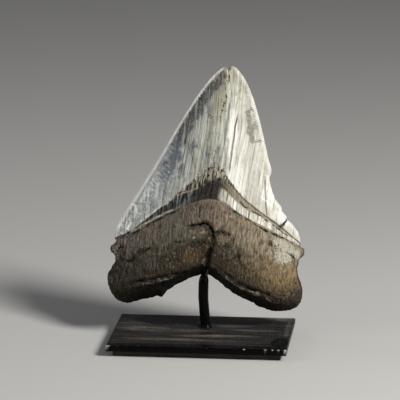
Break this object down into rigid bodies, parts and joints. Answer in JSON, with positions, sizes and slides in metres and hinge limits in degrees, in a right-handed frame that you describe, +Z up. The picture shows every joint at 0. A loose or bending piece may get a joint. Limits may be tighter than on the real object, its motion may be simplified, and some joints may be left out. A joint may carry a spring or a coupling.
{
  "type": "megalodon tooth",
  "caption": "Large fossil shark tooth with serrated edges and a two-lobed root, held upright by thin prongs on a bent post over a black two-step metal base.",
  "frame": {"origin": "centre of the foot plate's underside, where the stand rests", "axes": "+Z up through the stand towards the tooth's tip, +X across the base to the right as seen from the tooth's convex inner face, which looks towards -Y"},
  "size_m": [0.0947, 0.06, 0.1305],
  "materials": {
    "fossil": "glossy enamel in slate, olive and cream over a rough brown root",
    "plate": "semi-gloss black with dusty brushed streaks and chipped edges",
    "foot": "semi-gloss black",
    "wire": "satin black"
  },
  "bodies": {
    "root": {"tooth": "fossil", "base_plate": "plate", "base_foot": "foot", "post": "wire", "front_prong": "wire", "back_prong": "wire"}
  },
  "joints": []
}
